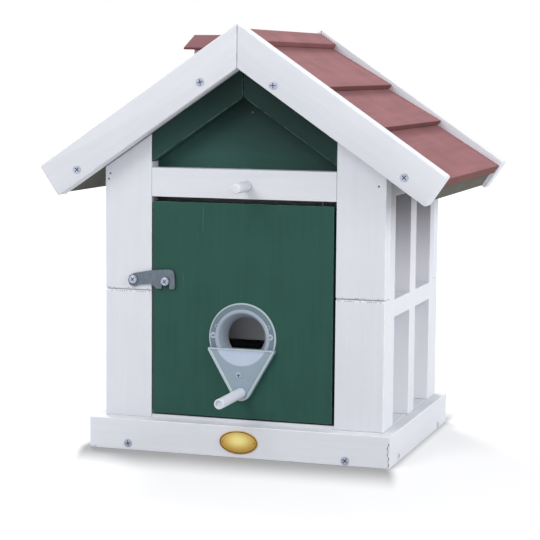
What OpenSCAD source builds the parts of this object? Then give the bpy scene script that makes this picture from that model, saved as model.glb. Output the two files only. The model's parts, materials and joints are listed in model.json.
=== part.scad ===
/* [House] */
// Width over the two side walls
body_w = 230; // [180:1:300]
// Depth from the front wall's face to the rear wall's face
body_d = 183; // [140:1:260]
// Height of the side walls' outer face at the soffit
wall_h = 224.6; // [180:0.1:300]
// Thickness of the front and rear boards
wall_t = 15; // [9:0.5:20]
// Height of the joint between the stacked wall boards
joint_z = 127.2; // [90:0.1:160]
// Gap at that joint
joint_gap = 0.3; // [0.1:0.1:1]
// Depth of the groove at that joint
joint_groove = 1.2; // [0.5:0.1:2]

/* [Base] */
// Height of the base boards
base_h = 25; // [18:0.5:40]
// Thickness of the base boards
base_board_t = 10; // [8:0.5:16]
// Thickness of the bottom plate
bottom_plate_t = 12; // [9:0.5:16]
// Ledge in front of the front wall
ledge_front = 12.8; // [5:0.1:25]
// Ledge beside each side wall
ledge_side = 8.6; // [5:0.1:25]
// Ledge behind the rear wall
ledge_back = 6.2; // [5:0.1:25]
// Height of the strip under the door
sill_h = 2.6; // [1.5:0.1:6]
// Depth of the strip under the door
sill_d = 24; // [15:1:40]
// Length of the oval name plate
plate_l = 31.5; // [20:0.5:45]
// Height of the oval name plate
plate_h = 18.5; // [10:0.5:20]
// Thickness of the oval name plate
plate_t = 0.8; // [0.4:0.1:1.5]
// Distance of the name plate's centre to the right of the middle
plate_x = 2.2; // [-10:0.1:10]

/* [Front] */
// Width of each pillar
pillar_w = 39.2; // [25:0.1:60]
// Height of the cross rail's underside
rail_z = 202.1; // [150:0.1:260]
// Height of the cross rail
rail_h = 22.7; // [15:0.1:40]
// Gap at each end of the cross rail
rail_gap = 0.2; // [0.1:0.1:1]
// Diameter of the round peg in the rail
peg_d = 8; // [5:0.5:12]
// How far the peg stands out
peg_out = 28; // [15:1:45]
// Length of the peg inside the rail
peg_in = 10; // [6:1:13]
// Distance of the peg to the right of the middle
peg_x = 3.3; // [-20:0.1:20]
// Height of the peg above the rail's underside
peg_up = 9.9; // [6:0.1:16]
// Width of the sloping trim under the bargeboards
trim_w = 18.5; // [10:0.5:28]
// Thickness of the panel behind the trim
gable_panel_t = 6; // [4:0.5:10]
// How far the gable panel reaches down behind the rail
gable_lap = 11; // [5:0.5:18]

/* [Windows] */
// Thickness of the window bars
lattice_t = 14; // [8:0.5:18]
// Width of the front window post
post_front = 16.2; // [10:0.1:30]
// Width of the rear window post
post_rear = 13.8; // [10:0.1:30]
// Width of the middle window post
post_middle = 19; // [8:0.5:30]
// Height of the middle bar's underside
bar_z = 111; // [80:0.5:150]
// Height of the middle bar
bar_h = 14; // [8:0.5:25]
// Height of the top bar's underside
top_bar_z = 206; // [150:0.5:215]
// Thickness of the pane
pane_t = 3; // [2:0.5:5]
// How far the pane reaches over the top bar's underside
pane_lap = 8; // [4:1:12]

/* [Seed board] */
// Thickness of the board inside
feed_t = 8; // [5:0.5:12]
// Distance of that board behind the front wall's face
feed_back = 38; // [30:1:70]
// Height of that board's lower edge
feed_z = 86; // [60:0.5:120]
// Gap at each end of that board
feed_gap = 0.3; // [0.1:0.1:1]

/* [Roof] */
// Slope of the roof in degrees
slope = 34.4; // [25:0.1:42]
// Thickness of the roof deck
deck_t = 15.4; // [9:0.1:20]
// Length of the deck down the slope, from under the ridge
deck_l = 176.5; // [150:0.5:230]
// Thickness of a lapped board
board_t = 4.5; // [3:0.1:8]
// Thickness of the lowest board at its lower edge
eave_board_t = 8; // [6:0.1:10]
// How much of the top board shows
show_1 = 61.5; // [40:0.1:75]
// How much of the middle board shows
show_2 = 53.7; // [40:0.1:75]
// How much of the lowest board shows
show_3 = 64; // [40:0.1:75]
// Clearance under the dormer and between lapped boards
seat_gap = 0.1; // [0.05:0.05:0.5]
// Lap of each board over the next
board_lap = 10; // [6:0.5:15]
// Length of the roof between the bargeboards
roof_len = 216.2; // [180:0.1:300]

/* [Dormer] */
// Distance of the dormer's face from the ridge
dormer_x = 72; // [60:1:90]
// Width of the dormer
dormer_w = 40; // [25:1:60]
// Length of the dormer's walls along its ridge
dormer_l = 42; // [30:1:46]
// Height of the dormer's walls over the main roof's soffit
dormer_up = 14.8; // [8:0.1:17]
// Rise of the dormer's roof
dormer_rise = 12.3; // [6:0.1:13]
// Thickness of the dormer's roof at its eaves
dormer_edge = 1.5; // [0.5:0.1:4]
// Distance of the dormer roof's upper end from the main ridge
dormer_end = 8; // [7:0.5:20]
// Overhang of the dormer's roof in front of its face
dormer_out = 7; // [2:0.5:12]
// Overhang of the dormer's roof beside its walls
dormer_eave = 6; // [2:0.5:12]

/* [Bargeboards] */
// Width of a bargeboard square to the slope
barge_w = 27.9; // [20:0.1:45]
// Thickness of a bargeboard
barge_t = 15; // [9:0.5:20]
// Length of a bargeboard's lower edge
barge_l = 180.6; // [150:0.1:240]
// Gap between the front bargeboards and the front wall
barge_gap = 1.7; // [0.5:0.1:10]
// Gap between two sloping boards where they meet under the ridge
mitre_gap = 0.3; // [0.2:0.1:2]
// Radius of the bargeboards' corners
barge_r = 2; // [0.5:0.5:5]

/* [Door] */
// Thickness of the door
door_t = 10; // [8:0.5:14]
// Gap beside the door on the latch side
door_gap_left = 1.2; // [0.8:0.1:4]
// Gap beside the door on the hinge side
door_gap_right = 2.2; // [1.5:0.1:4]
// Gap over the door
door_gap_top = 3.8; // [1.5:0.1:8]
// Gap under the door
door_gap_bottom = 1.5; // [0.8:0.1:4]
// Setback of the door's face behind the pillars
door_back = 0.3; // [0:0.1:2]
// Diameter of the two hinge pins
pin_d = 3; // [2:0.5:4]
// Distance of the hinge pins from the door's edge
pin_in = 10; // [8:0.5:20]
// Length of a hinge pin inside the door
pin_l = 14; // [8:1:25]
// Length of a hinge pin inside the frame
pin_root = 12; // [8:1:12]
// Running clearance around a pin
run_gap = 0.08; // [0.02:0.01:0.1]
// Clearance around a driven pin or screw
drive_gap = 0.05; // [0.02:0.01:0.1]

/* [Entry] */
// Outer diameter of the entry ring
ring_d = 55.3; // [45:0.1:70]
// Thickness of the ring's flange
ring_t = 2; // [1:0.1:4]
// Diameter of the mouth
mouth_d = 39; // [30:0.5:50]
// Diameter of the throat
throat_d = 30.3; // [22:0.1:40]
// Wall of the funnel
funnel_wall = 1.8; // [1:0.1:3]
// Clearance around the funnel in the door
funnel_gap = 0.4; // [0.2:0.1:1]
// Height of the mouth's centre over the door's lower edge
ring_up = 63.9; // [50:0.1:90]
// Distance of the mouth's centre to the right of the middle
ring_x = 0.6; // [-15:0.1:15]
// Depth of the raised cover
cover_t = 5; // [3.5:0.1:8]
// Width of the cover at its top edge
cover_w = 54.4; // [45:0.1:66]
// Height of the cover's top edge below the mouth's centre
cover_drop = 8.2; // [4:0.1:14]
// Radius of the cover's lower end
cover_r = 8.2; // [6:0.1:12]
// Height of the lower end's centre below the mouth's centre
cover_low = 41.2; // [34:0.1:50]
// Play between the cover and the ring
cover_gap = 0.1; // [0.05:0.05:0.3]
// Diameter of the perch
perch_d = 8; // [5:0.5:12]
// How far the perch stands out from the cover
perch_out = 51; // [25:1:80]
// Height of the perch below the mouth's centre
perch_low = 43; // [36:0.1:50]

/* [Latch] */
// Height of the latch screw
latch_z = 135.8; // [130:0.1:200]
// Distance of the latch screw from the pillar's inner edge
latch_in = 14.7; // [8:0.1:22]
// Distance of the catch screw from the door's edge
catch_in = 11.15; // [8:0.05:18]
// Thickness of the hook
hook_t = 1.5; // [1:0.1:3]
// Radius of the hook's corners
hook_r = 1.1; // [0.3:0.1:1.5]
// Gap between the hook and the pillar
hook_gap = 0.5; // [0.3:0.1:1.5]
// Gap between the hook and the screw heads
head_gap = 0.5; // [0.3:0.1:1.5]
// Shank diameter of both screws
shank_d = 3.5; // [2.5:0.1:5]
// Head diameter of both screws
head_d = 6.6; // [5:0.1:10]
// Head height of both screws
head_h = 1.7; // [1:0.1:3]
// Length of a screw in the wood
shank_in = 7; // [5:0.5:9]
// Height from the catch screw's shank to the top of the slot
slot_gap = 0.3; // [0.1:0.1:1]
// Width of the hook's slot
slot_w = 6.3; // [4.5:0.1:8]

/* [Hidden] */
$fn = 48;
cs = cos(slope);
sn = sin(slope);
tn = tan(slope);
base_w = body_w + 2 * ledge_side;
base_d = ledge_front + body_d + ledge_back;
front_y = -base_d / 2 + ledge_front;
front_in = front_y + wall_t;
rear_y = front_y + body_d;
rear_in = rear_y - wall_t;
half_w = body_w / 2;
lattice_x = half_w - lattice_t;
pane_x = lattice_x - pane_t;
soffit_z = wall_h + half_w * tn;
roof_y0 = front_y - barge_gap;
roof_y1 = roof_y0 + roof_len;
pillar_x = half_w - pillar_w;
rail_top = rail_z + rail_h;
door_x0 = -pillar_x + door_gap_left;
door_x1 = pillar_x - door_gap_right;
door_y0 = front_y + door_back;
door_y1 = door_y0 + door_t;
door_z0 = base_h + sill_h + door_gap_bottom;
door_z1 = rail_z - door_gap_top;
pin_x = door_x1 - pin_in;
pin_y = (door_y0 + door_y1) / 2;
ring_z = door_z0 + ring_up;
ring_y = door_y0 - ring_t;
cover_y = door_y0 - cover_t;
latch_x = -pillar_x - latch_in;
hook_y = front_y - hook_gap;
head_y = hook_y - hook_t - head_gap;
catch_x = door_x0 + catch_in;
reach = catch_x - latch_x;
catch_z = latch_z - 0.75;
slot_top = catch_z + shank_d / 2 + slot_gap - latch_z;
window_y0 = front_in + post_front;
window_y3 = rear_in - post_rear;
window_y1 = (window_y0 + window_y3 - post_middle) / 2;
window_y2 = window_y1 + post_middle;
feed_y = front_y + feed_back;
tilt_3 = (eave_board_t - board_t) / (show_3 + board_lap);
tilt_2 = tilt(show_2, board_lap, tilt_3);
top_lap = min(board_lap, deck_t * tn - 0.4);
tilt_1 = tilt(show_1, top_lap, tilt_2);
cap_h = deck_t + board_t + top_lap * tilt_1 + seat_gap / 2;
dormer_y = (roof_y0 + roof_y1) / 2;
dormer_z = soffit_z + dormer_up;
dormer_peak = dormer_z + dormer_rise;
white = [0.86, 0.88, 0.92];
green = [0.2, 0.36, 0.31];
red = [0.66, 0.46, 0.48];
steel = [0.5, 0.55, 0.6];
milky = [0.75, 0.8, 0.85];

// A point on the right slope: s down the slope, h square to it
function sh(s, h) = [s * cs + h * sn, soffit_z - s * sn + h * cs];
// A point where the ridge's plumb cut meets the height h
function ridge(h) = sh(-h * tn, h);
// Rise per millimetre of a board, lap long over its show, on a board whose top rises by next
function tilt(show, lap, next) =
    max((board_t + seat_gap + board_lap * next) / (show + lap),
        (board_t + seat_gap) / (show + lap - board_lap));

module box(x0, x1, y0, y1, z0, z1) {
    translate([x0, y0, z0]) cube([x1 - x0, y1 - y0, z1 - z0]);
}

// An XZ outline drawn out along Y
module along_y(y0, y1) {
    translate([0, y1, 0]) rotate([90, 0, 0]) linear_extrude(y1 - y0) children();
}

// A round bar along Y
module rod_y(x, z, d, y0, y1) {
    translate([x, y1, z]) rotate([90, 0, 0]) cylinder(d = d, h = y1 - y0);
}

module under_roof(y0, y1) {
    far = sh(2 * half_w, 0);
    along_y(y0, y1) polygon([[0, soffit_z], far, [far[0], 0], [-far[0], 0], [-far[0], far[1]]]);
}

// A plate that fills the frame of base boards
module base_plate(z0, z1) {
    x = base_w / 2 - base_board_t;
    y = base_d / 2 - base_board_t;
    box(-x, x, -y, y, z0, z1);
}

module bottom_plate() {
    color(white) base_plate(0, bottom_plate_t);
}

module floor_plate() {
    color(white) base_plate(bottom_plate_t, base_h);
}

module base_board(len, out) {
    linear_extrude(base_h) polygon([[-len / 2, -out], [len / 2, -out],
        [len / 2 - base_board_t, -out + base_board_t], [-len / 2 + base_board_t, -out + base_board_t]]);
}

module base_board_front() {
    color(white) base_board(base_w, base_d / 2);
}

module base_board_back() {
    color(white) rotate([0, 0, 180]) base_board(base_w, base_d / 2);
}

module base_board_left() {
    color(white) rotate([0, 0, -90]) base_board(base_d, base_w / 2);
}

module base_board_right() {
    color(white) rotate([0, 0, 90]) base_board(base_d, base_w / 2);
}

module name_plate() {
    color([0.75, 0.62, 0.35]) along_y(-base_d / 2 - plate_t, -base_d / 2) translate([plate_x, base_h / 2])
        scale([plate_l, plate_h]) circle(d = 1);
}

module door_sill() {
    color(white) difference() {
        box(-pillar_x + rail_gap, pillar_x - rail_gap, front_y + 1, front_y + 1 + sill_d,
            base_h, base_h + sill_h);
        translate([pin_x, pin_y, base_h - 1]) cylinder(d = pin_d + 2 * drive_gap, h = sill_h + 2);
    }
}

// A board joint: a thin gap with a groove in front
module board_joint(y, side) {
    inner = y + side * (wall_t + 1);
    across = joint_groove * sqrt(2);
    box(-half_w - 1, half_w + 1, min(y, inner), max(y, inner),
        joint_z - joint_gap / 2, joint_z + joint_gap / 2);
    translate([0, y, joint_z]) rotate([45, 0, 0]) cube([body_w + 2, across, across], center = true);
}

module pillar(side) {
    x0 = side > 0 ? pillar_x : -half_w;
    difference() {
        intersection() {
            box(x0, x0 + pillar_w, front_y, front_in, base_h, soffit_z);
            under_roof(front_y - 1, front_in + 1);
        }
        board_joint(front_y, 1);
        if (side < 0) rod_y(latch_x, latch_z, shank_d + 2 * drive_gap, front_y - 1, front_y + shank_in + 0.5);
    }
}

module pillar_left() {
    color(white) pillar(-1);
}

module pillar_right() {
    color(white) pillar(1);
}

module cross_rail() {
    color(white) difference() {
        box(-pillar_x + rail_gap, pillar_x - rail_gap, front_y, front_in, rail_z, rail_top);
        rod_y(peg_x, rail_z + peg_up, peg_d + 2 * drive_gap, front_y - 1, front_y + peg_in + 0.2);
        translate([pin_x, pin_y, rail_z - 1]) cylinder(d = pin_d + 2 * drive_gap, h = pin_root + 1.2);
    }
}

module rail_peg() {
    color(white) rod_y(peg_x, rail_z + peg_up, peg_d, front_y - peg_out, front_y + peg_in);
}

module gable_trim() {
    color(green) intersection() {
        along_y(front_y, front_in) for (m = [0, 1]) mirror([m, 0]) difference() {
            polygon([ridge(0), ridge(-trim_w), sh(2 * half_w, -trim_w), sh(2 * half_w, 0)]);
            square([mitre_gap, 3 * soffit_z], center = true);
        }
        box(-pillar_x + rail_gap, pillar_x - rail_gap, front_y - 1, front_in + 1, rail_top, soffit_z + 1);
    }
}

module gable_panel() {
    color(green) intersection() {
        box(-pane_x + rail_gap, pane_x - rail_gap, front_in, front_in + gable_panel_t,
            rail_top - gable_lap, soffit_z);
        under_roof(front_in - 1, front_in + gable_panel_t + 1);
    }
}

// A piece of a side wall's lattice, from y[0] to y[1] and z[0] to z[1]
module lattice_box(side, y, z) {
    box(side > 0 ? lattice_x : -half_w, side > 0 ? half_w : -lattice_x, y[0], y[1], z[0], z[1]);
}

module window_posts(side) {
    intersection() {
        for (y = [[front_in, window_y0], [window_y1, window_y2], [window_y3, rear_in]])
            lattice_box(side, y, [base_h, soffit_z]);
        under_roof(front_y, rear_y);
    }
}

module window_bars(side) {
    intersection() {
        for (y = [[window_y0, window_y1], [window_y2, window_y3]])
            for (z = [[bar_z, bar_z + bar_h], [top_bar_z, soffit_z]]) lattice_box(side, y, z);
        under_roof(front_y, rear_y);
    }
}

module window_pane(side) {
    box(side > 0 ? pane_x : -lattice_x, side > 0 ? lattice_x : -pane_x, front_in, rear_in,
        base_h, top_bar_z + pane_lap);
}

module window_posts_left() {
    color(white) window_posts(-1);
}

module window_posts_right() {
    color(white) window_posts(1);
}

module window_bars_left() {
    color(white) window_bars(-1);
}

module window_bars_right() {
    color(white) window_bars(1);
}

module window_pane_left() {
    color(milky) window_pane(-1);
}

module window_pane_right() {
    color(milky) window_pane(1);
}

module rear_wall() {
    color(white) difference() {
        box(-half_w, half_w, rear_in, rear_y, base_h, wall_h);
        board_joint(rear_y, -1);
    }
}

module rear_gable() {
    color(white) along_y(rear_in, rear_y) polygon([[-half_w, wall_h], [half_w, wall_h], [0, soffit_z]]);
}

module feed_board() {
    color(white) box(-pane_x + feed_gap, pane_x - feed_gap, feed_y, feed_y + feed_t, feed_z, wall_h - 4);
}

module roof_deck() {
    along_y(roof_y0, roof_y1) polygon([ridge(0), ridge(deck_t), sh(deck_l, deck_t), sh(deck_l, 0)]);
}

module roof_deck_right() {
    color([0.33, 0.33, 0.29]) roof_deck();
}

module roof_deck_left() {
    color([0.33, 0.33, 0.29]) mirror([1, 0, 0]) roof_deck();
}

// A lapped board of length len whose lower edge lies at s
module roof_board(s, len, rise) {
    up = deck_t + rise * len;
    along_y(roof_y0, roof_y1)
        polygon([sh(s - len, deck_t), sh(s - len, deck_t + board_t), sh(s, up + board_t), sh(s, up)]);
}

// The lowest board lies flat on the deck
module eave_board(s, show) {
    len = show + board_lap;
    up = deck_t + eave_board_t;
    along_y(roof_y0, roof_y1)
        polygon([sh(s - len, deck_t), sh(s - len, deck_t + board_t), sh(s, up), sh(s, deck_t)]);
}

module roof_board_right_1() {
    color(red) roof_board(show_1, show_1 + top_lap, tilt_1);
}

module roof_board_right_2() {
    color(red) roof_board(show_1 + show_2, show_2 + board_lap, tilt_2);
}

module roof_board_right_3() {
    color(red) eave_board(show_1 + show_2 + show_3, show_3);
}

module roof_board_left_1() {
    color(red) mirror([1, 0, 0]) roof_board(show_1, show_1 + top_lap, tilt_1);
}

module roof_board_left_2() {
    color(red) mirror([1, 0, 0]) roof_board(show_1 + show_2, show_2 + board_lap, tilt_2);
}

module roof_board_left_3() {
    color(red) mirror([1, 0, 0]) eave_board(show_1 + show_2 + show_3, show_3);
}

module ridge_cap() {
    up = cap_h + board_t;
    along_y(roof_y0, roof_y1) polygon([ridge(cap_h), ridge(up), sh(0, up), sh(0, cap_h)]);
}

module ridge_cap_right() {
    color(red) ridge_cap();
}

module ridge_cap_left() {
    color(red) mirror([1, 0, 0]) ridge_cap();
}

// Everything under the ridge cap and the upper two boards, with the seat's clearance
module under_boards() {
    board_top = deck_t + board_t + seat_gap;
    cap_top = cap_h + board_t + seat_gap;
    edge_1 = show_1 + seat_gap;
    edge_2 = show_1 + show_2;
    polygon([[0, 0], ridge(cap_top), sh(seat_gap, cap_top), sh(seat_gap, cap_h),
        sh(edge_1, board_top + tilt_1 * (show_1 + top_lap)), sh(edge_1, board_top + tilt_2 * board_lap),
        sh(edge_2, board_top + tilt_2 * (show_2 + board_lap)), [sh(edge_2, 0)[0], 0]]);
}

module dormer_block() {
    color(white) mirror([1, 0, 0]) along_y(dormer_y - dormer_w / 2, dormer_y + dormer_w / 2) difference() {
        polygon([[dormer_x - dormer_l, wall_h], [dormer_x - dormer_l, dormer_z], [dormer_x, dormer_z],
            [dormer_x, wall_h]]);
        under_boards();
    }
}

module dormer_roof() {
    half = dormer_w / 2 + dormer_eave;
    color(red) difference() {
        translate([-dormer_x - dormer_out, dormer_y, 0]) rotate([90, 0, 90])
            linear_extrude(dormer_x + dormer_out - dormer_end)
            polygon([[-half, dormer_z], [half, dormer_z], [half, dormer_z + dormer_edge], [0, dormer_peak],
                [-half, dormer_z + dormer_edge]]);
        mirror([1, 0, 0]) along_y(dormer_y - half - 1, dormer_y + half + 1) under_boards();
    }
}

module barges(y0) {
    along_y(y0, y0 + barge_t) for (m = [0, 1]) mirror([m, 0]) intersection() {
        offset(r = barge_r) offset(delta = -barge_r)
            polygon([sh(-3 * barge_w, 0), sh(-3 * barge_w, barge_w), sh(barge_l, barge_w), sh(barge_l, 0)]);
        translate([mitre_gap / 2, 0]) square([body_w, 2 * soffit_z]);
    }
}

module barge_front() {
    color(white) barges(roof_y0 - barge_t);
}

module barge_rear() {
    color(white) barges(roof_y1);
}

module hinge_pins() {
    color(steel) translate([pin_x, pin_y, 0]) {
        translate([0, 0, base_h]) cylinder(d = pin_d, h = sill_h + door_gap_bottom + pin_l);
        translate([0, 0, door_z1 - pin_l]) cylinder(d = pin_d, h = pin_l + door_gap_top + pin_root);
    }
}

module door_panel() {
    bore = pin_d + 2 * run_gap;
    color(green) difference() {
        box(door_x0, door_x1, door_y0, door_y1, door_z0, door_z1);
        translate([pin_x, pin_y, door_z0 - 1]) cylinder(d = bore, h = pin_l + 1.3);
        translate([pin_x, pin_y, door_z1 - pin_l - 0.3]) cylinder(d = bore, h = pin_l + 1.3);
        rod_y(ring_x, ring_z, mouth_d + 2 * funnel_wall + 2 * funnel_gap, door_y0 - 1, door_y1 + 1);
        rod_y(catch_x, catch_z, shank_d + 2 * drive_gap, door_y0 - 1, door_y0 + shank_in + 0.5);
    }
}

module entry_ring() {
    depth = door_t + ring_t;
    color(milky) translate([ring_x, ring_y, ring_z]) rotate([-90, 0, 0]) rotate_extrude() polygon([
        [mouth_d / 2, 0], [ring_d / 2, 0], [ring_d / 2, ring_t], [mouth_d / 2 + funnel_wall, ring_t],
        [throat_d / 2 + funnel_wall, depth], [throat_d / 2, depth]]);
}

module cover_outline() {
    translate([ring_x, ring_z]) hull() {
        translate([-cover_w / 2, -cover_drop - 2]) square([cover_w, 2]);
        translate([0, -cover_low]) circle(r = cover_r);
    }
}

module entry_cover() {
    color(milky) difference() {
        along_y(cover_y, door_y0) cover_outline();
        rod_y(ring_x, ring_z, ring_d + 2 * cover_gap, ring_y - cover_gap, door_y0 + 1);
        rod_y(ring_x, ring_z - perch_low, perch_d + 2 * drive_gap, cover_y - 1, door_y0 + 1);
    }
}

module perch() {
    color(milky) rod_y(ring_x, ring_z - perch_low, perch_d, cover_y - perch_out, door_y0 - 0.1);
}

module screw(x, z) {
    rod_y(x, z, shank_d, head_y - 0.5, front_y + shank_in);
    rod_y(x, z, head_d, head_y - head_h, head_y);
}

module latch_screw() {
    color(steel) screw(latch_x, latch_z);
}

module catch_screw() {
    color(steel) screw(catch_x, catch_z);
}

module latch_hook() {
    color(steel) difference() {
        translate([latch_x, 0, latch_z]) along_y(hook_y - hook_t, hook_y)
        offset(r = hook_r) offset(delta = -hook_r) difference() {
            polygon([[-4.6, -0.8], [-3.6, 2.6], [0.3, 4.8], [reach - 12.6, 7.6],
                [reach + 2.5, 8.9], [reach + 6.4, 8.2], [reach + 7.5, 5.2], [reach + 8, -4.5],
                [reach + 7.2, -6.8], [reach - 7.6, -6.8], [reach - 8.8, -5.6], [reach - 12.6, -3.2],
                [4.6, -4.2], [0.6, -5.9], [-3.4, -4.6]]);
            translate([reach - slot_w / 2, -10]) square([slot_w, slot_top + 10]);
        }
        rod_y(latch_x, latch_z, shank_d + 2 * run_gap, hook_y - hook_t - 1, hook_y + 1);
    }
}

bottom_plate();
floor_plate();
base_board_front();
base_board_back();
base_board_left();
base_board_right();
name_plate();
door_sill();
pillar_left();
pillar_right();
cross_rail();
rail_peg();
gable_trim();
gable_panel();
window_posts_left();
window_posts_right();
window_bars_left();
window_bars_right();
window_pane_left();
window_pane_right();
rear_wall();
rear_gable();
feed_board();
roof_deck_left();
roof_deck_right();
ridge_cap_left();
ridge_cap_right();
roof_board_left_1();
roof_board_left_2();
roof_board_left_3();
roof_board_right_1();
roof_board_right_2();
roof_board_right_3();
dormer_block();
dormer_roof();
barge_front();
barge_rear();
hinge_pins();
latch_screw();
door_panel();
entry_ring();
entry_cover();
perch();
catch_screw();
latch_hook();
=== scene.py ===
# %% [markdown]
# # A wooden bird feeder
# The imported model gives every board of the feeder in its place, in metres. This lesson keeps those
# boards, rounds their edges, adds the small hardware and gives each material its finish. The frame is
# loaded first, so that every place below is read from it and nothing has to be fitted by eye.

# %% Load the frame
import json
from math import atan2, cos, pi, radians, sin, tau
import bmesh
import bpy
from mathutils import Matrix, Vector


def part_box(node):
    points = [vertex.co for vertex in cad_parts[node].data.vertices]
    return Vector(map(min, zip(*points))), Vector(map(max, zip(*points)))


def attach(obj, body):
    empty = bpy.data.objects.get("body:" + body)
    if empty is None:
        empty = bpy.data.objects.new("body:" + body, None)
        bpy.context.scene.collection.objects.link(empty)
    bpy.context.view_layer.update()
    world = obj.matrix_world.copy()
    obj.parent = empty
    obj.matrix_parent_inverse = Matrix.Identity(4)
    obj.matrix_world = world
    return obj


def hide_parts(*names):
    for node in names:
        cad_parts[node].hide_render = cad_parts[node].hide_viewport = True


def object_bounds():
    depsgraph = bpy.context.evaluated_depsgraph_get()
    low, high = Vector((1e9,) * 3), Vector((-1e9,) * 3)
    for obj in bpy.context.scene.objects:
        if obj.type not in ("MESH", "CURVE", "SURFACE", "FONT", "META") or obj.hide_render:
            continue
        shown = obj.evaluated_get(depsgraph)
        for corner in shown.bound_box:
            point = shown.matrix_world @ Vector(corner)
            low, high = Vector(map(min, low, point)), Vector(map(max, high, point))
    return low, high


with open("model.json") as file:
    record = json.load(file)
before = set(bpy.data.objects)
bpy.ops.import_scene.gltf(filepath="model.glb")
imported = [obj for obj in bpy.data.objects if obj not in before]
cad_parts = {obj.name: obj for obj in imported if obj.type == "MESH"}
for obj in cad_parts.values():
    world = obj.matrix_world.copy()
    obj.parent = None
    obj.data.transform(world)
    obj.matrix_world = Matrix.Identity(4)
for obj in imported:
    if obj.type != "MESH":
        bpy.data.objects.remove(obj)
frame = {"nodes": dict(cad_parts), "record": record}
cad_low, cad_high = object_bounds()
record = frame["record"]
slot_of = {part["node"]: part["material_slot"] for part in record["subparts"]}
body_of = {node: body for body, nodes in record["behaviour"]["bodies"].items() for node in nodes}
mm = 0.001
print("pieces:", len(slot_of), "size in mm:", [round(size / mm, 1) for size in cad_high - cad_low])

# %% [markdown]
# The feeder is looked at from a little to the right and slightly above, through a long lens. A long
# lens keeps the walls almost upright, as a catalogue picture does. The camera's turn is built from an
# azimuth, an elevation and a roll, because those three can each be corrected alone.

# %% The camera
def aim(azimuth, elevation, roll):
    """The camera's turn: azimuth 0 looks along +Y, and the roll is about the line of sight."""
    back = Vector((sin(azimuth) * cos(elevation), -cos(azimuth) * cos(elevation), sin(elevation)))
    side = Vector((0, 0, 1)).cross(back).normalized()
    up = back.cross(side)
    turned = cos(roll) * side + sin(roll) * up
    return Matrix((turned, back.cross(turned), back)).transposed().to_4x4()


camera = bpy.data.objects.new("camera", bpy.data.cameras.new("camera"))
camera.data.lens = 122.5
camera.data.sensor_width = 36
camera_place = Vector((0.4517, -1.4404, 0.3057))
camera_turn = aim(radians(17.6), radians(6.36), radians(0.47))
camera.matrix_world = Matrix.Translation(camera_place) @ camera_turn
bpy.context.collection.objects.link(camera)
bpy.context.scene.camera = camera
print("camera looks along", [round(value, 3) for value in -camera.matrix_world.col[2].to_3d()])

# %% [markdown]
# Shader maths is easier to read as sums than as a web of nodes. A Wire holds one socket, and adding or
# multiplying wires adds the Math node that does it. Colours go through Mix and Vector Math nodes,
# because a Math node would turn them grey.

# %% Wires between nodes
class Wire:
    """One output socket. Sums on wires become Math nodes in the same material."""

    def __init__(self, tree, socket):
        self.tree = tree
        self.socket = socket

    def math(self, operation, *values):
        node = self.tree.nodes.new("ShaderNodeMath")
        node.operation = operation
        for place, value in enumerate(values):
            plug(self.tree, node.inputs[place], value)
        return Wire(self.tree, node.outputs[0])

    def __add__(self, other):
        return self.math("ADD", self, other)

    def __sub__(self, other):
        return self.math("SUBTRACT", self, other)

    def __rsub__(self, other):
        return self.math("SUBTRACT", other, self)

    def __mul__(self, other):
        return self.math("MULTIPLY", self, other)

    def size(self):
        return self.math("ABSOLUTE", self)

    def root(self):
        return self.math("SQRT", self)

    def over_zero(self):
        return self.math("MAXIMUM", self, 0.0)

    def step(self, low, high):
        """0 under low, 1 over high and smooth between them."""
        node = self.tree.nodes.new("ShaderNodeMapRange")
        node.interpolation_type = "SMOOTHSTEP"
        for place, value in enumerate((self, low, high, 0.0, 1.0)):
            plug(self.tree, node.inputs[place], value)
        return Wire(self.tree, node.outputs[0])

    __radd__ = __add__
    __rmul__ = __mul__


def plug(tree, socket, value):
    """Link a wire to a socket, or set the socket's own value."""
    if isinstance(value, Wire):
        tree.links.new(value.socket, socket)
    else:
        socket.default_value = value

# %% [markdown]
# A Finish is one material. Its surface shader starts with plain constants, and whatever varies over the
# surface is wired in afterwards. Grain runs along a board, so it needs the distance along the board and
# two distances across it: noise that is stretched along the board then looks like drawn-out fibres.

# %% A material that is built step by step
def shade(colour, alpha=1.0):
    """A colour given as display values of 0 to 255, made linear for the shader."""
    linear = [(v / 255 / 12.92) if v <= 10 else ((v / 255 + 0.055) / 1.055) ** 2.4 for v in colour]
    return (*linear, alpha)


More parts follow.
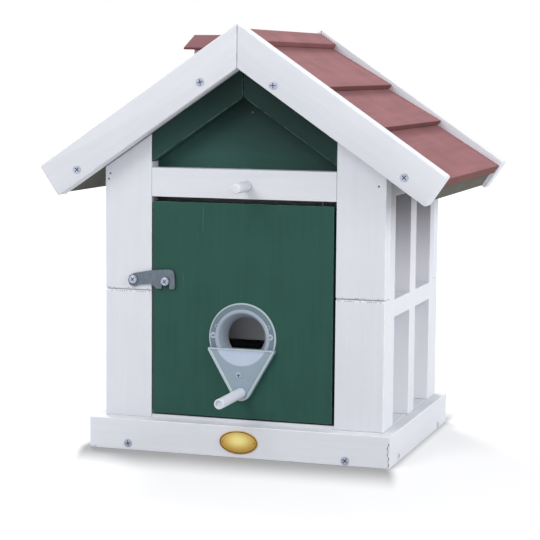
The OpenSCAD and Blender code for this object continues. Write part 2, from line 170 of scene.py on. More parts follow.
class Finish:
    """One material, whose nodes are added by node() and whose constants are set by name."""

    def __init__(self, name, **constants):
        self.material = bpy.data.materials.new(name)
        self.material.use_nodes = True
        self.tree = self.material.node_tree
        self.shader = self.tree.nodes["Principled BSDF"]
        self.set(**constants)
        self.place = self.node("ShaderNodeTexCoord", output="Object")

    def set(self, **sockets):
        """Set or wire the shader's sockets: base_color stands for Base Color."""
        for name, value in sockets.items():
            title = name.replace("_", " ").title().replace("Ior", "IOR")
            plug(self.tree, self.shader.inputs[title], value)

    def node(self, kind, settings=(), sockets=(), output=0):
        """Any node: its settings first, then its sockets by name or number."""
        node = self.tree.nodes.new(kind)
        for name, value in dict(settings).items():
            setattr(node, name, value)
        for name, value in dict(sockets).items():
            plug(self.tree, node.inputs[name], value)
        return Wire(self.tree, node.outputs[output])

    def axes(self):
        """The three coordinates of the place on the piece, as wires."""
        parts = self.tree.nodes.new("ShaderNodeSeparateXYZ")
        self.tree.links.new(self.place.socket, parts.inputs[0])
        return [Wire(self.tree, part) for part in parts.outputs]

    def noise(self, where, scale, detail=3.0, roughness=0.55):
        values = {"Vector": where, "Scale": scale, "Detail": detail, "Roughness": roughness}
        return self.node("ShaderNodeTexNoise", {}, values)

    def blend(self, amount, first, second):
        """A colour that goes from first to second with amount."""
        return self.node("ShaderNodeMix", {"data_type": "RGBA"}, {0: amount, 6: first, 7: second}, 2)

    def tint(self, colour, amount):
        """A colour made lighter or darker by a wire."""
        return self.node("ShaderNodeVectorMath", {"operation": "SCALE"}, {0: colour[:3], "Scale": amount})

    def bumps(self, height, depth):
        """Relief of a given depth in metres, from a height of 0 to 1."""
        self.set(normal=self.node("ShaderNodeBump", {}, {"Height": height, "Distance": depth}))


print("a display grey of 128 is", round(shade((128,) * 3)[0], 3), "in linear light")

# %% [markdown]
# A board's length can run along X, Y or Z, or along the rake of the gable. For the rake the coordinates
# are turned about Y after X has lost its sign, so that one material serves the left board and the
# right one alike.

# %% The direction of the grain
deck_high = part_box("roof_deck_right")[1]
deck_corners = [vert.co for vert in frame["nodes"]["roof_deck_right"].data.vertices]
outermost = max(deck_corners, key=lambda corner: corner.x)
rake = atan2(deck_high.z - outermost.z, outermost.x)
along_scale = 9.0
across_scale = 170.0


def grain_space(finish, way):
    """Coordinates stretched along the board, so that noise in them looks like grain."""
    x, y, z = finish.axes()
    if way == "rake":
        outward = x.size()
        x, z = outward * cos(rake) - z * sin(rake), outward * sin(rake) + z * cos(rake)
        way = "X"
    scales = [along_scale if name == way else across_scale for name in "XYZ"]
    lengths = [value * scale for value, scale in zip((x, y, z), scales)]
    return finish.node("ShaderNodeCombineXYZ", {}, dict(enumerate(lengths)))

# %% [markdown]
# The woodwork is brushed with thin paint: the grain shows through as faint streaks, broad patches are a
# little lighter or darker, and the edges are rubbed. On the white and green paint the paler colour of the
# rubbed edges is also a painted highlight, the light that a rounded edge catches. Where an edge has been
# rounded, the mesh carries an attribute named edge with the value 1, so the wear and the painted highlight
# follow the real edges and not a guess.

# %% Painted wood
def painted(name, colour, worn_and_lit, way, streak=0.05, mottle=0.04, wear_and_highlight=0.5, roughness=0.55,
            fleck=0.0, gloss=0.2, painted_shading=None):
    """Brushed paint over wood whose grain runs along way.

    The last argument holds the painted shading: the heights in millimetres where the shade starts and
    is full, the tone at each of them (over 1 paints light) and how far the line between them leans as x
    grows."""
    finish = Finish(name, specular_ior_level=gloss)
    grain = finish.noise(grain_space(finish, way), 1.0, 5.0, 0.62)
    patches = finish.noise(finish.place, 26.0)
    tone = 1.0 + (grain - 0.5) * (2.2 * streak) + (patches - 0.5) * (2.2 * mottle)
    # Painted shading: the tone changes with height. It darkens under the eaves and high in the gable, and
    # it lightens low in the gable.
    if painted_shading:
        lit_z, shaded_z, lit_tone, shaded_tone, lean = painted_shading
        x, y, z = finish.axes()
        shading_amount = (z + x * lean).step(lit_z * mm, shaded_z * mm)
        tone = tone * (shading_amount * (shaded_tone - lit_tone) + lit_tone)
    colours = finish.tint(shade(colour), tone)
    # The edges take the worn colour in patches. This is rubbed paint, and on the white and green paint it
    # is also a painted highlight.
    edge = finish.node("ShaderNodeAttribute", {"attribute_name": "edge"}, {}, "Fac")
    rubbed_and_lit_edges = edge * finish.noise(finish.place, 150.0, 4.0).step(0.35, 0.6) * wear_and_highlight
    colours = finish.blend(rubbed_and_lit_edges, colours, shade(worn_and_lit))
    if fleck:
        specks = finish.noise(grain_space(finish, way), 2.6, 2.0).step(0.68, 0.76) * fleck
        colours = finish.blend(specks, colours, shade(worn_and_lit))
    finish.set(base_color=colours, roughness=(grain - 0.5) * 0.2 + roughness)
    finish.bumps(grain, 0.25 * mm)
    return finish.material


plain_white = dict(colour=(212, 214, 221), worn_and_lit=(232, 233, 236), streak=0.05, mottle=0.03)
# The gable's green is darkened as painted shade for its recess under the roof.
shaded_green = dict(colour=(34, 58, 54), worn_and_lit=(84, 106, 99), streak=0.14, mottle=0.2, gloss=0.1)
paints = {
    "white_paint": plain_white,
    # The side lattice's white takes painted shade that darkens it towards the eaves.
    "side_white": dict(plain_white, painted_shading=(120, 216, 1.0, 0.72, 0)),
    "green_paint": dict(colour=(41, 78, 69), worn_and_lit=(112, 138, 130), streak=0.14, mottle=0.12,
                        fleck=0.12, gloss=0.12, wear_and_highlight=0.9),
    # The gable panel and its trim take painted light low down and painted shade high up, along a line that
    # leans with x.
    "gable_green": dict(shaded_green, painted_shading=(205, 285, 2.2, 0.5, 0.35)),
    "trim_green": dict(shaded_green, painted_shading=(205, 285, 1.4, 0.65, 0.35)),
    "red_paint": dict(colour=(131, 87, 90), worn_and_lit=(112, 72, 68), streak=0.26, mottle=0.24, wear_and_highlight=0.8,
                      roughness=0.8, fleck=0.2),
    "dormer_red": dict(colour=(112, 70, 74), worn_and_lit=(88, 58, 56), streak=0.25, mottle=0.2, roughness=0.85),
    # A darker copy of the roof red, painted shade for the board edges that face down the slope.
    "roof_edge": dict(colour=(104, 66, 64), worn_and_lit=(84, 60, 52), streak=0.25, mottle=0.2, wear_and_highlight=0.4,
                      roughness=0.85),
    "roof_deck": dict(colour=(84, 84, 76), worn_and_lit=(120, 118, 108), streak=0.2, mottle=0.15, roughness=0.85),
}
finishes = {}


def wood(slot, way):
    """The painted wood of a slot with its grain along way, made once."""
    if (slot, way) not in finishes:
        finishes[slot, way] = painted(f"{slot}_{way}", way=way, **paints[slot])
    return finishes[slot, way]

# %% [markdown]
# No sawn board has a knife edge. Each board is copied from the model, its loose triangles are merged and
# its flat faces joined, and then every sharp edge is rounded with a small bevel. The bevel's own faces
# get the edge attribute, which is what the paint's wear and painted edge highlight read.

# %% Round a board's edges
def collect(name, mesh_work, material, body, smooth=None):
    """Make an object of a bmesh, give it its material and let it ride on its body."""
    mesh = bpy.data.meshes.new(name)
    mesh_work.to_mesh(mesh)
    mesh_work.free()
    piece = bpy.data.objects.new(name, mesh)
    bpy.context.collection.objects.link(piece)
    mesh.materials.append(material)
    if smooth:
        mesh.shade_smooth()
        mesh.set_sharp_from_angle(angle=radians(smooth))
    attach(piece, body)
    return piece


def board_mesh(node):
    """A merged copy of a node's mesh with its flat faces joined."""
    work = bmesh.new()
    work.from_mesh(frame["nodes"][node].data)
    bmesh.ops.remove_doubles(work, verts=work.verts, dist=0.01 * mm)
    bmesh.ops.dissolve_limit(work, angle_limit=radians(1), verts=work.verts, edges=work.edges)
    return work


def round_edges(work, width, segments=2, least=25):
    """Bevel the edges that turn by more than least degrees, and mark the new faces as edge."""
    mark = work.loops.layers.float_color.new("edge")
    closed = [edge for edge in work.edges if len(edge.link_faces) == 2]
    sharp = [edge for edge in closed if edge.calc_face_angle() > radians(least)]
    made = bmesh.ops.bevel(work, geom=sharp, offset=width, offset_type="OFFSET", affect="EDGES",
                           segments=segments, profile=0.5, clamp_overlap=True, material=-1)
    rim = set(made["faces"])
    for face in work.faces:
        for loop in face.loops:
            loop[mark] = (1, 1, 1, 1) if face in rim else (0, 0, 0, 1)


grain_ways = {
    "X": ["base_board_front", "base_board_back", "cross_rail", "door_sill", "bottom_plate", "floor_plate",
          "feed_board", "gable_panel", "rear_wall", "rear_gable", "dormer_roof"],
    "Y": ["base_board_left", "base_board_right", "window_bars_left", "window_bars_right", "rail_peg",
          "dormer_block"],
    "Z": ["pillar_left", "pillar_right", "window_posts_left", "window_posts_right", "door_panel"],
    "rake": ["barge_front", "barge_rear", "gable_trim"],
}
way_of = {node: way for way, nodes in grain_ways.items() for node in nodes}
own_paints = {"gable_panel": "gable_green", "gable_trim": "trim_green", "dormer_roof": "dormer_red"}
lattice = [node for node in slot_of if node.startswith(("window_posts", "window_bars"))]
own_paints.update({node: "side_white" for node in lattice})
edge_widths = {"barge_front": 0.9, "barge_rear": 0.9, "door_panel": 1.0, "rail_peg": 1.0, "gable_trim": 0.8,
               "dormer_roof": 0.3, "door_sill": 0.5}
boards = {}
for node, slot in slot_of.items():
    if slot not in paints:
        continue
    work = board_mesh(node)
    round_edges(work, edge_widths.get(node, 0.6) * mm, least=60 if node == "rail_peg" else 25)
    smooth = 40 if node in ("rail_peg", "barge_front", "barge_rear") else None
    paint = own_paints.get(node, slot)
    material = wood(paint, way_of.get(node, "Y"))
    boards[node] = collect(f"{node}_board", work, material, body_of[node], smooth)
    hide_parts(node)
    if node.startswith("roof_board"):
        # The board edges that face down the slope take the darker red as painted shade.
        boards[node].data.materials.append(wood("roof_edge", "Y"))
        down_slope = Vector((cos(rake) * (-1 if "left" in node else 1), 0, -sin(rake)))
        for face in boards[node].data.polygons:
            face.material_index = int(face.normal.dot(down_slope) > 0.7)
print("boards with rounded edges:", len(boards))

# %% [markdown]
# Under the eaves little light reaches into the window openings, so their upper ends lie in shade. The
# faces in the openings that look to the front take a finish of their own with that light and shade painted
# in. It goes from pale at the sill, a painted light, to grey at the top, a painted shade.

# %% Painted shade in the window openings
def shaded_reveal_white():
    """White with painted shade, pale low down and greying slowly over the lower windows, strongly above."""
    finish = Finish("shaded_reveal_white", roughness=0.6, specular_ior_level=0.2)
    height = finish.axes()[2]
    colours = finish.blend(height.step(20 * mm, 120 * mm), shade((244, 245, 247)), shade((232, 231, 236)))
    finish.set(base_color=finish.blend(height.step(122 * mm, 216 * mm), colours, shade((139, 136, 138))))
    return finish.material


reveal_shade = shaded_reveal_white()
house_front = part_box("pillar_left")[0].y
for side in ("left", "right"):
    post = boards[f"window_posts_{side}"]
    post.data.materials.append(reveal_shade)
    for face in post.data.polygons:
        # The faces that look to the front inside the openings take the painted shade.
        face.material_index = int(face.normal.y < -0.9 and face.center.y > house_front + 20 * mm)
print("dusty faces:", sum(face.material_index for face in post.data.polygons))

# %% [markdown]
# The hardware is zinc-plated steel. Zinc that has weathered a little is dull and blue-grey with a cloudy
# spangle, so it is a half-metallic surface with soft noise in its colour and a wide highlight.

# %% Steel, brass and plastics
def dull_metal(name, colour, cloud, metallic, roughness):
    """Weathered plating with soft clouds in its colour."""
    finish = Finish(name, metallic=metallic)
    clouds = finish.noise(finish.place, 320.0, 4.0)
    finish.set(base_color=finish.tint(shade(colour), 1.0 + (clouds - 0.5) * cloud),
               roughness=(clouds - 0.5) * 0.25 + roughness)
    finish.bumps(clouds, 0.05 * mm)
    return finish.material


hook_zinc = dull_metal("hook_zinc", (94, 105, 116), 0.9, 0.4, 0.5)
steel = dull_metal("screw_zinc", (164, 171, 188), 0.9, 0.45, 0.4)
# A dark steel that stands for shade: on the hinge pins in the dark gap above the door, in the screws' cross
# recesses and round their heads.
shade_dark_steel = dull_metal("shade_dark_steel", (62, 66, 76), 0.5, 0.6, 0.5)
dark_line = Finish("dark_line", base_color=shade((74, 54, 26)), roughness=0.6).material


def milky(name, colour, shine=0.25):
    """Cloudy moulded plastic: light goes in a little, so the shader has some subsurface."""
    finish = Finish(name, roughness=shine, subsurface_weight=0.15, subsurface_scale=2 * mm)
    clouds = finish.noise(finish.place, 60.0)
    finish.set(base_color=finish.tint(shade(colour), 1.0 + (clouds - 0.5) * 0.1))
    return finish.material


flange_plastic = milky("milky_flange", (96, 116, 126))
bezel_plastic = milky("milky_bezel", (150, 161, 175))
# The rim plastic is a paler copy of the milky plastic, a painted highlight on the rims of the fitting and
# the cover.
rim_highlight_plastic = milky("milky_rim_highlight", (168, 184, 190))
perch_plastic = milky("milky_perch", (208, 211, 222), 0.35)
frosted = milky("frosted_sheet", (186, 190, 200), 0.5)
print("hardware finishes ready")

# %% [markdown]
# A countersunk screw shows as a disc with a cross recess. The disc is a circle, inset once for its
# rounded rim and once for the recess. The inner ring's points are then drawn in between the arms, which
# makes a cross of sixteen points, and the cross is pushed down as a pit. The pit and the disc's thin sides
# take a dark steel, which paints the shade in the recess and round the head.

# %% A screw head
arm_reach, arm_angle = 0.62, 0.22
notch_reach, notch_angle = 0.2, 0.25


def cross_head(work, centre, facing, radius, rise, turn):
    """Add a disc whose face looks along facing. Its cross recess and thin sides take the second material,
    painted shade.
    """
    before = set(work.verts)
    ring = bmesh.ops.create_circle(work, cap_ends=True, segments=16, radius=radius)["verts"]
    disc = ring[0].link_faces[0]
    if disc.normal.z < 0:
        bmesh.ops.reverse_faces(work, faces=[disc])
    top = bmesh.ops.extrude_discrete_faces(work, faces=[disc])["faces"][0]
    bmesh.ops.translate(work, verts=top.verts, vec=(0, 0, rise * 0.7))
    for edge in top.edges:
        for side_face in edge.link_faces:
            side_face.material_index = int(side_face is not top)
    bmesh.ops.inset_individual(work, faces=[top], thickness=radius * 0.14, depth=rise * 0.3)
    bmesh.ops.inset_individual(work, faces=[top], thickness=radius * 0.2)
    for vert in top.verts:
        number = round(atan2(vert.co.y, vert.co.x) / (pi / 8)) % 16
        side = 1 if number % 2 else -1
        middle = number // 4 * pi / 2 + pi / 16
        on_arm = number % 4 < 2
        angle = middle + side * arm_angle if on_arm else middle + pi / 4 + side * notch_angle
        reach = radius * (arm_reach if on_arm else notch_reach)
        vert.co.xy = reach * cos(angle), reach * sin(angle)
    top.material_index = 1
    bmesh.ops.inset_individual(work, faces=[top], thickness=radius * 0.01, depth=-rise * 0.7)
    spin = Vector((0, 0, 1)).rotation_difference(Vector(facing)).to_matrix().to_4x4()
    place = Matrix.Translation(centre) @ spin @ Matrix.Rotation(turn, 4, "Z")
    bmesh.ops.transform(work, matrix=place, verts=[vert for vert in work.verts if vert not in before])


def screw_heads(name, body, places, radius=3.4, rise=0.4, material=steel):
    """One mesh of screw heads: each place is a point in millimetres and the way its head looks."""
    work = bmesh.new()
    for number, (point, facing) in enumerate(places):
        cross_head(work, Vector(point) * mm, facing, radius * mm, rise * mm, number * 0.7)
    heads = collect(name, work, material, body)
    heads.data.materials.append(shade_dark_steel)
    return heads


base_low, base_high = (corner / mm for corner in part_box("base_board_front"))
side_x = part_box("base_board_right")[1].x / mm
barge_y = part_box("barge_front")[0].y / mm
front, right, left, back = (0, -1, 0), (1, 0, 0), (-1, 0, 0), (0, 1, 0)
base_places = [((x, base_low.y + 0.1, z), front) for x, z in ((-90.8, 5.4), (88.4, 4.0))]
base_places += [((x, -base_low.y - 0.1, 4.6), back) for x in (-89, 89)]
side_places = []
for y, z in ((-71, 4.4), (69, 3.7)):
    side_places += [((side_x - 0.1, y, z), right), ((0.1 - side_x, y, z), left)]
screw_heads("base_screws", "house", base_places)
painted_screw = Finish("painted_screw", base_color=shade((206, 210, 218)), roughness=0.4).material
screw_heads("base_side_screws", "house", side_places, 3.0, 0.4, painted_screw)
print("base screws:", len(base_places))

# %% [markdown]
# Each bargeboard is screwed on near its two ends. The screws in front have places of their own, and the
# pair of boards at the back repeats them, with the heads turned to face backwards.

# %% Bargeboard screws
barge_points = ((-29.6, 292.3), (-132.5, 222.5), (29.2, 290.3), (132.4, 223.1))
barge_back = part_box("barge_rear")[1].y / mm
barge_places = [((x, barge_y + 0.1, z), front) for x, z in barge_points]
barge_places += [((x, barge_back - 0.1, z), back) for x, z in barge_points]
screw_heads("barge_screws", "house", barge_places)
print("bargeboard screws:", len(barge_places))

# %% [markdown]
# The round entry is one moulded fitting: a flange, a rim that is a little raised and a funnel that
# narrows into the house. Its section is drawn once as a few points beside the axis and spun a full turn,
# which gives true round rims that the model's coarser ring doesn't have.

# %% The entry ring
ring_low, ring_high = (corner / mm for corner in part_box("entry_ring"))
ring_centre = (ring_low + ring_high) / 2
ring_radius = (ring_high.x - ring_low.x) / 2
ring_front, ring_back = ring_low.y, ring_high.y
mouth_radius, throat_radius, funnel_wall = 19.5, 15.15, 1.8
ring_section = [
    (mouth_radius, ring_front + 0.9), (mouth_radius + 0.5, ring_front + 0.25),
    (mouth_radius + 1.3, ring_front), (mouth_radius + 2.5, ring_front + 0.1),
    (mouth_radius + 3.1, ring_front + 0.7), (ring_radius - 1.1, ring_front + 0.8),
    (ring_radius - 0.3, ring_front + 1.0), (ring_radius, ring_front + 1.5), (ring_radius, ring_front + 2.0),
    (mouth_radius + funnel_wall, ring_front + 2.0), (throat_radius + funnel_wall, ring_back),
    (throat_radius, ring_back)]


def spun(work, section, centre, steps=72):
    """Spin a closed section of (radius, y) points once round the Y axis through centre."""
    points = [work.verts.new(Vector((centre.x + radius, y, centre.z)) * mm) for radius, y in section]
    edges = [work.edges.new((points[i - 1], points[i])) for i in range(len(points))]
    bmesh.ops.spin(work, geom=points + edges, cent=Vector((centre.x, 0, centre.z)) * mm, axis=(0, 1, 0),
                   angle=tau, steps=steps, use_merge=True)
    bmesh.ops.remove_doubles(work, verts=work.verts, dist=0.001 * mm)
    bmesh.ops.recalc_face_normals(work, faces=work.faces)


work = bmesh.new()
spun(work, ring_section, ring_centre)
ring = collect("entry_fitting", work, flange_plastic, "door", smooth=40)
ring.data.materials.append(bezel_plastic)
ring.data.materials.append(rim_highlight_plastic)
# The outer rim of the flange takes the paler rim plastic, a painted highlight.
for face in ring.data.polygons:
    away = Vector((face.center.x / mm - ring_centre.x, face.center.z / mm - ring_centre.z)).length
    face.material_index = 1 if away < mouth_radius + 3.1 else 2 if away > ring_radius - 1.1 else 0
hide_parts("entry_ring")
print("entry fitting:", len(ring.data.polygons), "faces")

# %% [markdown]
# Under the mouth sits a raised cover shaped like a shield, which also holds the perch. The plastic is
# cloudy, so the lower half of the mouth shines through it as a paler disc. The colour is mixed by the
# distance from the mouth's centre, which a Mapping node puts at the origin.

# %% The cover over the lower half of the mouth
def cloudy_cover():
    """Milky plastic with the mouth and its rim showing through."""
    finish = Finish("milky_cover", roughness=0.25, subsurface_weight=0.1, subsurface_scale=2 * mm)
    place = finish.node("ShaderNodeMapping", {"vector_type": "POINT"},
                        {"Vector": finish.place, "Location": (-ring_centre.x * mm, 0, -ring_centre.z * mm),
                         "Scale": (1, 0, 1)})
    away = finish.node("ShaderNodeVectorMath", {"operation": "LENGTH"}, {0: place}, "Value")
    clouds = finish.noise(finish.place, 60.0)
    inside = 1 - away.step((mouth_radius + 1.6) * mm, (mouth_radius + 2.8) * mm)
    colours = finish.blend(inside, shade((136, 153, 166)), shade((176, 188, 208)))
    finish.set(base_color=finish.node("ShaderNodeVectorMath", {"operation": "SCALE"}, {
        0: colours, "Scale": 1.0 + (clouds - 0.5) * 0.16}))
    return finish.material


def outline_points(node, hole_centre, hole_radius):
    """The points round a node's front face, in order, without those of its hole."""
    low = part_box(node)[0].y
    points = {tuple(round(value, 5) for value in vert.co) for vert in frame["nodes"][node].data.vertices
              if vert.co.y < low + 0.01 * mm and (vert.co.xz - hole_centre).length > hole_radius}
    middle_x = sum(point[0] for point in points) / len(points)
    middle_z = sum(point[2] for point in points) / len(points)
    return sorted(points, key=lambda point: atan2(point[2] - middle_z, point[0] - middle_x))


perch_low, perch_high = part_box("perch")
perch_radius = (perch_high.z - perch_low.z) / 2
cover_face, cover_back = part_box("entry_cover")[0].y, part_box("entry_cover")[1].y
work = bmesh.new()
outline = outline_points("entry_cover", ((perch_low + perch_high) / 2).xz, perch_radius + 0.3 * mm)
shield = work.faces.new([work.verts.new((x, cover_back, z)) for x, y, z in outline])
shield.normal_update()
if shield.normal.y > 0:
    bmesh.ops.reverse_faces(work, faces=[shield])
cover_front = bmesh.ops.extrude_discrete_faces(work, faces=[shield])["faces"][0]
bmesh.ops.translate(work, verts=cover_front.verts, vec=(0, cover_face - cover_back + 0.4 * mm, 0))
# The rounded rim of the cover takes the paler rim plastic, a painted highlight. Its inner face takes the
# cloudy finish.
cover_front.material_index = 1
for width, depth in ((0.4, 0.4), (1.3, 0.0), (0.5, -0.7)):
    bmesh.ops.inset_individual(work, faces=[cover_front], thickness=width * mm, depth=depth * mm)
cover_front.material_index = 2
cover = collect("mouth_cover", work, bezel_plastic, "door")
cover.data.materials.append(rim_highlight_plastic)
cover.data.materials.append(cloudy_cover())
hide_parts("entry_cover")
print("cover faces:", len(cover.data.polygons))

# %% [markdown]
# The perch is a short length of plastic tube, and the end shows its wall as a pale ring round a darker
# bore. Its end circle is inset by the wall and pushed in.

# %% The perch
perch_centre = (perch_low + perch_high) / 2 / mm
outside = perch_radius / mm
tip, root = perch_low.y / mm, perch_high.y / mm
perch_section = [
    (0.01, tip + 1.6), (outside - 1.5, tip + 1.6), (outside - 1.3, tip + 0.5), (outside - 1.0, tip),
    (outside - 0.5, tip), (outside, tip + 0.5), (outside, root), (0.01, root)]
work = bmesh.new()
spun(work, perch_section, perch_centre, 40)
perch = collect("perch_tube", work, perch_plastic, "door", smooth=40)
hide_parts("perch")
print("perch stands out", round((cover_face - perch_low.y) / mm, 1), "mm")

# %% [markdown]
# Two screws hold the flange and one the cover. They are smaller than the ones in the boards.

# %% Screws of the entry
flange_places = [((x, ring_front + 0.9, z), front) for x, z in ((-23.4, 94.1), (23.7, 94.7))]
screw_heads("flange_screws", "door", flange_places, 2.4, 0.5)
screw_heads("cover_screw", "door", [((-1.2, cover_face / mm + 0.8, 63.8), front)], 2.5, 0.5)
print("entry screws made")

# %% [markdown]
# The flange has two holes that hold no screw, and the gable shows the heads of a few nails that were
# painted over. Each is only a small dark or pale disc, so thin round plates set on the surface do the
# job without cutting the wood.

# %% Nail marks and empty holes
def discs(name, body, material, places, radius, rise=0.12):
    """Small round plates set on faces that look to the front."""
    work = bmesh.new()
    for x, y, z in places:
        turn = Matrix.Translation(Vector((x, y, z)) * mm) @ Matrix.Rotation(pi / 2, 4, "X")
        bmesh.ops.create_cone(work, cap_ends=True, segments=14, radius1=radius * mm,
                              radius2=radius * 0.8 * mm, depth=2 * rise * mm, matrix=turn)
    return collect(name, work, material, body)


front_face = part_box("pillar_left")[0].y / mm
gable_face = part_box("gable_panel")[0].y / mm
nail_paint = Finish("nail_rust", base_color=shade((84, 78, 80)), roughness=0.6).material
discs("pillar_nails", "house", nail_paint,
      [(-110.8, front_face, 219.4), (-112.1, front_face, 215.0), (108.9, front_face, 214.8)], 0.9)
discs("gable_nail", "house", nail_paint, [(2.9, gable_face, 269.1)], 0.9)
flange_holes = [(-20.3, ring_front + 0.8, 101.5), (22.0, ring_front + 0.8, 102.4)]
discs("flange_hole_rims", "door", bezel_plastic, flange_holes, 1.9)
discs("flange_holes", "door", flange_plastic, flange_holes, 1.35, 0.16)
print("nail marks made")

# %% [markdown]
# The front board of the base has a rough mitre at its right end, where the paint has chipped away, and
# its lower left corner is knocked. The groove between the pillars' boards has flaked too, and its flakes
# are a pale violet grey that is also the groove's painted shade. The chips are small flat cones whose
# places and sizes come from a sine of their number, so that every run makes the same ones.

# %% Chipped corners and grooves
def wobble(number):
    """An uneven value between -1 and 1 that is the same on every run."""
    return sin(number * 12.9) * 0.5 + sin(number * 7.3) * 0.5


def flakes(name, material, points, size=0.45):
    """Small flat five-sided chips on faces that look to the front. Size is the least radius."""
    work = bmesh.new()
    for number, point in enumerate(points):
        lay = Matrix.Translation(Vector(point) * mm) @ Matrix.Rotation(pi / 2, 4, "X")
        bmesh.ops.create_cone(work, cap_ends=True, segments=5, radius2=0.2 * mm, depth=0.12 * mm,
                              radius1=(size + 0.25 * abs(wobble(number))) * mm,
                              matrix=lay @ Matrix.Rotation(number * 1.7, 4, "Z"))
    return collect(name, work, material, "house")


corner_x = base_high.x
chip_y = base_low.y - 0.02
mitre_chips = [(corner_x - 1.3 + 0.7 * wobble(number), chip_y, 1.5 + number * 0.86) for number in range(22)]
knocked_chips = [(1.2 + number * 1.3 - corner_x, chip_y, 0.9 + 0.5 * wobble(number)) for number in range(4)]
bare_wood = Finish("bare_wood", base_color=shade((112, 104, 104)), roughness=0.9).material
chips = flakes("base_chips", bare_wood, mitre_chips + knocked_chips)

front_corners = [vert.co / mm for vert in frame["nodes"]["pillar_right"].data.vertices
                 if vert.co.y < house_front + 0.01 * mm]
heights = sorted({round(corner.z, 1) for corner in front_corners})
groove_points = []
for node in ("pillar_left", "pillar_right"):
    low, high = (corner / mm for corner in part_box(node))
    for number in range(1, 22):
        uneven = wobble(number + len(groove_points))
        edge = heights[2] + 0.3 * uneven if uneven > 0.3 else heights[1] + 0.3 * uneven
        groove_points.append((low.x + number * (high.x - low.x) / 22, low.y - 0.02, edge))
# The flakes' pale violet grey is flaked paint and painted shade of the groove together.
flaked_and_shaded = Finish("flaked_paint_and_shade", base_color=shade((176, 172, 190)), roughness=0.9).material
flakes("groove_flakes", flaked_and_shaded, groove_points, 0.6)
print("chips:", len(chips.data.polygons), "faces, groove between", heights[1], "and", heights[2], "mm")

# %% [markdown]
# The hook is flat zinc-plated bar that turns on a screw in the left pillar and drops over a screw in the
# door. Its edges are rounded as sheared steel is. Both screws keep the model's shank and get a domed
# head with a cross.

# %% Hook and its two screws
work = board_mesh("latch_hook")
round_edges(work, 0.25 * mm, 2, 50)
hook = collect("hook_bar", work, hook_zinc, "latch")
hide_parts("latch_hook")
shank_radius, head_depth, dome = 1.75, 1.7, 0.8
for node in ("latch_screw", "catch_screw"):
    low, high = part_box(node)
    centre = (low + high) / 2
    head = (high.x - low.x) / 2
    head_radius, head_front, shank_end = head / mm, low.y / mm, high.y / mm
    head_back = head_front + head_depth
    work = bmesh.new()
    spun(work, [(0.01, head_back + 0.5), (shank_radius, head_back + 0.5), (shank_radius, shank_end),
                (0.01, shank_end)], centre / mm, 24)
    spun(work, [(0.01, head_front + dome), (head_radius - 0.5, head_front + dome),
                (head_radius, head_front + dome + 0.3), (head_radius, head_back), (0.01, head_back)],
         centre / mm, 32)
    face_place = Vector((centre.x, low.y + dome * mm, centre.z))
    cross_head(work, face_place, front, head * 0.92, 0.7 * mm, 0.5)
    screw = collect(f"{node}_round", work, steel, body_of[node])
    screw.data.materials.append(shade_dark_steel)
    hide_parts(node)
print("hook and screws made")

# %% [markdown]
# The oval plate on the base is brass with a dark engraved line near its rim and two small pins. It is
# left blank. A circle is scaled to the oval, given a thickness and inset twice, and the band between the
# two insets is sunk and takes the dark material. The field is polished by hands in its middle, so the
# brass goes from dark gold at the rim to pale gold by the distance from the plate's centre.

# %% The oval plate
plate_low, plate_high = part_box("name_plate")
plate_centre = (plate_low + plate_high) / 2
half = (plate_high - plate_low) / 2


def rubbed_brass():
    """Brass that is paler towards the middle of the oval."""
    finish = Finish("rubbed_brass", metallic=0.45, roughness=0.4)
    scale = Vector((1 / half.x, 0, 1 / half.z))
    place = finish.node("ShaderNodeMapping", {"vector_type": "POINT"}, {
        "Vector": finish.place, "Scale": scale,
        "Location": (-plate_centre.x * scale.x, 0, -(plate_centre.z + 1.5 * mm) * scale.z)})
    away = finish.node("ShaderNodeVectorMath", {"operation": "LENGTH"}, {0: place}, "Value")
    finish.set(base_color=finish.blend(away.step(0.1, 1.0), shade((238, 222, 140)), shade((186, 144, 58))))
    return finish.material


work = bmesh.new()
ring_verts = bmesh.ops.create_circle(work, cap_ends=True, segments=64, radius=1)["verts"]
lay = Matrix.Translation((plate_centre.x, plate_high.y, plate_centre.z)) @ Matrix.Rotation(pi / 2, 4, "X")
bmesh.ops.transform(work, verts=ring_verts, matrix=lay @ Matrix.Diagonal((half.x, half.z, 1, 1)))
face = work.faces[:][0]
if face.normal.y > 0:
    bmesh.ops.reverse_faces(work, faces=[face])
plate = bmesh.ops.extrude_discrete_faces(work, faces=[face])["faces"][0]
bmesh.ops.translate(work, verts=plate.verts, vec=(0, plate_low.y - plate_high.y + 0.2 * mm, 0))
bmesh.ops.inset_individual(work, faces=[plate], thickness=0.3 * mm, depth=0.2 * mm)
bmesh.ops.inset_individual(work, faces=[plate], thickness=0.25 * mm)
groove = bmesh.ops.inset_individual(work, faces=[plate], thickness=0.7 * mm, depth=-0.1 * mm)["faces"]
for side in groove:
    side.material_index = 1
before = set(work.faces)
pin_reach = half.x - 2.6 * mm
for side in (-1, 1):
    pin_place = (plate_centre.x + side * pin_reach, plate_low.y + 0.2 * mm, plate_centre.z)
    pin = Matrix.Translation(pin_place) @ Matrix.Rotation(pi / 2, 4, "X")
    bmesh.ops.create_cone(work, cap_ends=True, segments=12, radius1=0.7 * mm, radius2=0.5 * mm,
                          depth=0.35 * mm, matrix=pin)
for face in set(work.faces) - before:
    face.material_index = 1
badge = collect("oval_plate", work, rubbed_brass(), "house")
badge.data.materials.append(dark_line)
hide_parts("name_plate")
print("plate faces:", len(badge.data.polygons))

# %% [markdown]
# The hinge pins stay as the model has them and take the dark steel, painted shade for the gap above the
# door, and the window sheets only need their finish. They are put on the nodes themselves, whose meshes
# are never moved.

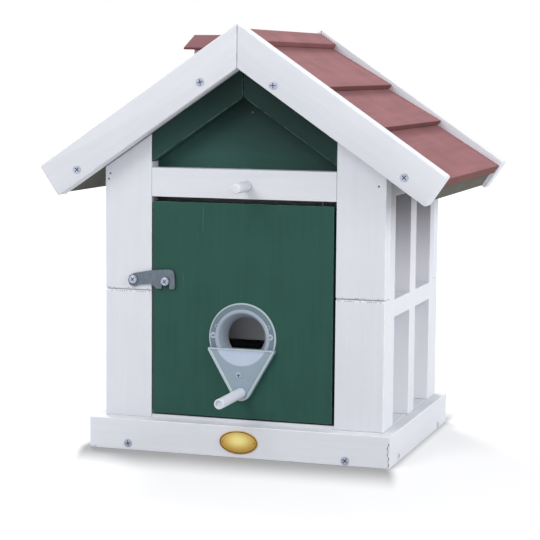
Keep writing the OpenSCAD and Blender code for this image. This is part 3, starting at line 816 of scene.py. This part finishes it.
# %% Finishes on the nodes that stay
kept = {"hinge_pins": shade_dark_steel, "window_pane_left": frosted, "window_pane_right": frosted}
for node, material in kept.items():
    frame["nodes"][node].data.materials.clear()
    frame["nodes"][node].data.materials.append(material)
print("kept nodes:", sorted(kept))

# %% [markdown]
# The feeder stands on a plain floor that fades into a white background. White is painted only for the
# camera and for reflections: the floor keeps a diffuse part for the shadow, and an emission that is seen
# straight on makes up the rest. More lamp light would wash out the pale boards instead. Close to the
# base the white is held back in colour and emission, a painted contact shadow that leans to the right
# in front.

# %% Floor and background
def in_view(tree):
    """1 for rays from the camera or by way of a reflection, and 0 for the light that falls on things."""
    path = tree.nodes.new("ShaderNodeLightPath")
    camera_ray, glossy_ray, clear_ray = [
        Wire(tree, path.outputs[f"Is {kind} Ray"]) for kind in ("Camera", "Glossy", "Transmission")]
    return camera_ray + glossy_ray + clear_ray


def backdrop_floor():
    """A wide floor that the camera sees as white, with a soft shadow partly painted in near the base."""
    work = bmesh.new()
    bmesh.ops.create_grid(work, x_segments=1, y_segments=1, size=30)
    mesh = bpy.data.meshes.new("floor")
    work.to_mesh(mesh)
    work.free()
    floor = bpy.data.objects.new("floor", mesh)
    bpy.context.collection.objects.link(floor)
    finish = Finish("pale_floor", roughness=0.9, specular_ior_level=0.0)
    away = finish.node("ShaderNodeVectorMath", {"operation": "LENGTH"}, {0: finish.place}, "Value")
    x, y, z = finish.axes()
    # Painted contact shadow: how far a point lies outside the base, stretched in front and leaning to the
    # right.
    in_front = (base_low.y * mm - y).over_zero()
    beside = ((x - in_front * 0.3 + 3 * mm).size() - side_x * mm).over_zero() * 1.3
    before = ((y + 7 * mm).size() + base_low.y * mm).over_zero() * 0.19
    gap = (beside * beside + before * before).root()
    outside_painted_shadow = gap.step(-2 * mm, 13 * mm) * 0.62 + 0.38
    glow = (away.step(0.35, 1.6) * 0.46 + 0.34) * outside_painted_shadow
    seen = in_view(finish.tree)
    finish.set(base_color=finish.tint(shade((200, 200, 202)), 1 - seen * (1 - outside_painted_shadow)),
               emission_color=finish.tint((1, 1, 1), seen * glow), emission_strength=1.0)
    mesh.materials.append(finish.material)
    return floor


backdrop_floor()
world = bpy.data.worlds.new("studio")
bpy.context.scene.world = world
world.use_nodes = True
tree = world.node_tree
light = tree.nodes["Background"]
light.inputs["Color"].default_value = (1, 1, 1, 1)
sky_level = 0.64
plug(tree, light.inputs["Strength"], in_view(tree) * (1 - sky_level) + sky_level)
bpy.context.scene.view_settings.view_transform = "Standard"
print("sky level", sky_level)

# %% [markdown]
# Three soft lamps light the feeder: a main one in front and above to the left, one on the right that
# fills the side wall, and a smaller one behind that picks out the roof. Large lamps give the soft shadow
# under the eaves and keep the whites from clipping.

# %% Lamps
def soft_lamp(name, place, target, size, watts):
    """A square area lamp that looks at a point."""
    data = bpy.data.lights.new(name, "AREA")
    data.size = size
    data.energy = watts
    lamp = bpy.data.objects.new(name, data)
    lamp.location = place
    lamp.rotation_mode = "QUATERNION"
    lamp.rotation_quaternion = (Vector(target) - Vector(place)).to_track_quat("-Z", "Y")
    bpy.context.collection.objects.link(lamp)


middle = (cad_low + cad_high) / 2
soft_lamp("main_lamp", (-0.7, -1.5, 1.3), middle, 1.1, 17)
soft_lamp("fill_lamp", (1.7, -0.3, 0.9), middle, 1.2, 21)
soft_lamp("back_lamp", (-0.7, 0.9, 1.5), middle, 0.5, 22)
